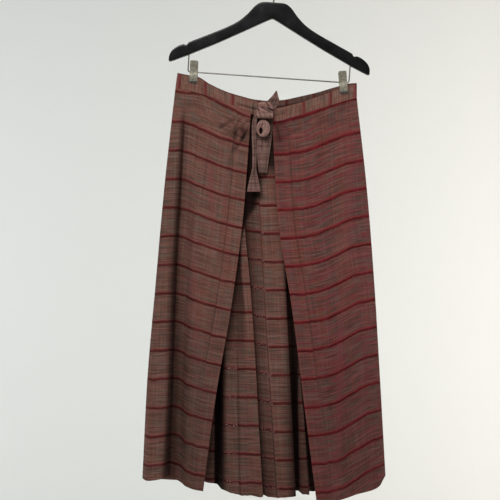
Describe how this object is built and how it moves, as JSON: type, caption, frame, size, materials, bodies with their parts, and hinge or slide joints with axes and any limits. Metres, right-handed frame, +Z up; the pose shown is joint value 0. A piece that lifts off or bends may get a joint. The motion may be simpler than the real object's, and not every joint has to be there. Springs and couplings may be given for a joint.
{
  "type": "pleated wrap midi skirt on a clip hanger",
  "caption": "Wrap midi skirt with a knife-pleated centre panel and a tied waist, hung flat by two pinch clips from a shaped hanger with a hook.",
  "frame": {"origin": "inside top of the hanger's hook, where a rail carries it", "axes": "+Z up, +X to the right of someone who faces the skirt's front, +Y away from them"},
  "size_m": [0.5264, 0.1518, 1.1309],
  "materials": {
    "skirt_cloth": "slubby woven stripe, matt",
    "band_cloth": "the same weave cut across, matt",
    "tie_cloth": "the same weave, matt",
    "black_lacquer": "black satin lacquer",
    "wire_steel": "drawn wire",
    "clip_steel": "nickel plate"
  },
  "bodies": {
    "root": {"front_left_panel": "skirt_cloth", "front_right_panel": "skirt_cloth", "pleat_panel_left": "skirt_cloth", "pleat_panel_right": "skirt_cloth", "back_panel": "skirt_cloth", "waistband_front_left": "band_cloth", "waistband_front_right": "band_cloth", "waistband_back": "band_cloth", "tie_knot": "tie_cloth", "tie_loop": "tie_cloth", "tie_end_up": "tie_cloth", "tie_tail_long": "tie_cloth", "tie_tail_short": "tie_cloth", "hanger_body": "black_lacquer", "hanger_hook": "wire_steel", "hanger_bar": "wire_steel", "clip_left_spring": "clip_steel", "clip_left_front": "clip_steel", "clip_left_back": "clip_steel", "clip_right_spring": "clip_steel", "clip_right_front": "clip_steel", "clip_right_back": "clip_steel"}
  },
  "joints": []
}
